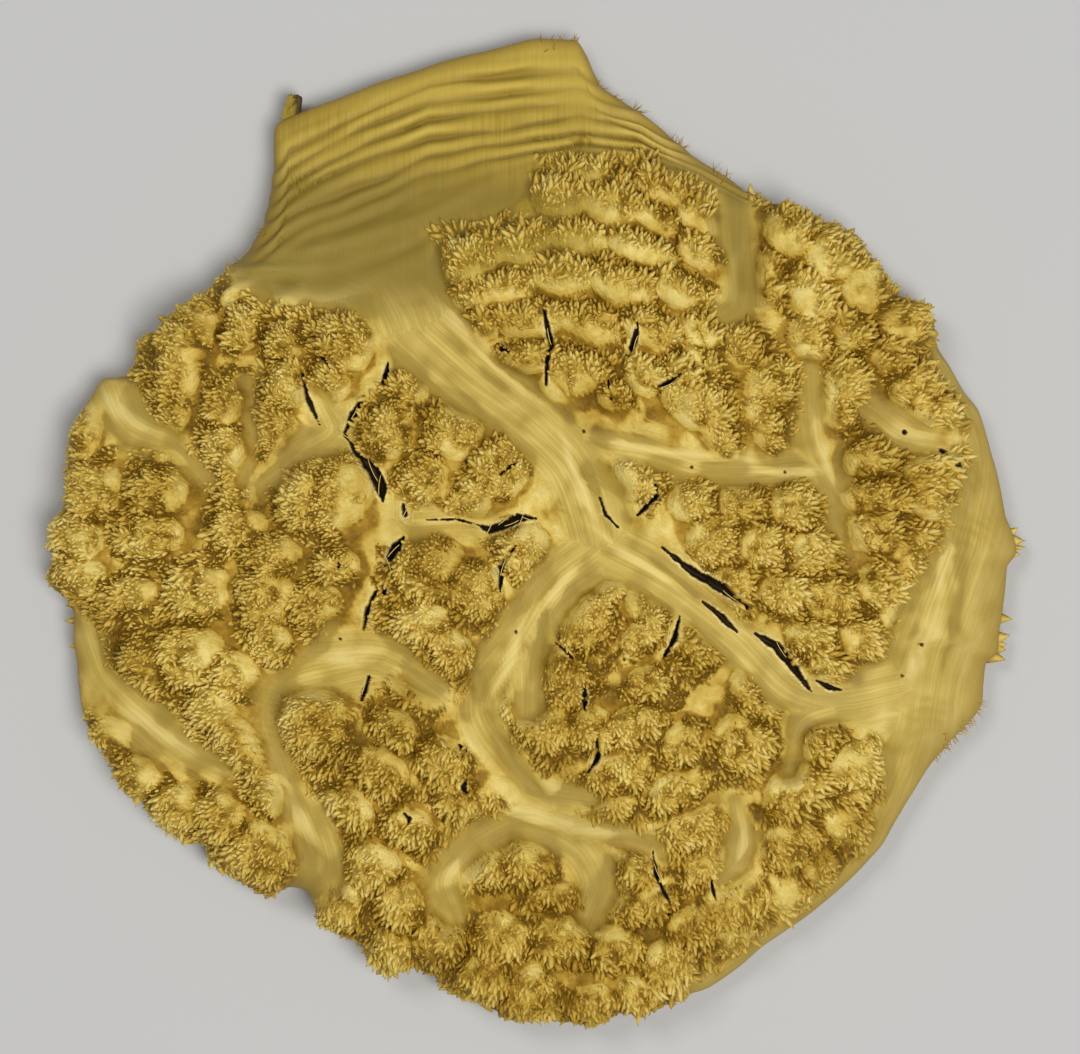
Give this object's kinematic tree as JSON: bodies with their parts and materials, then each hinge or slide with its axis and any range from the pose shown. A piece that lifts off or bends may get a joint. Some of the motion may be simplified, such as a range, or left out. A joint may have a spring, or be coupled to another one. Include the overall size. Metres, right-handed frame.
{
  "type": "acacia burl slab",
  "caption": "Rounded natural wood burl with a short trunk neck, prickly lobes parted by smooth channels, and a flat sawn back to lie on.",
  "frame": {"origin": "middle of the outline's box, on the flat sawn back", "axes": "+Z out of the back through the dome, +Y towards the neck, +X to the smooth rim"},
  "size_m": [0.4496, 0.4538, 0.0678],
  "materials": {
    "acacia_wood": "matte debarked wood"
  },
  "bodies": {
    "root": {"burl_slab": "acacia_wood"}
  },
  "joints": []
}
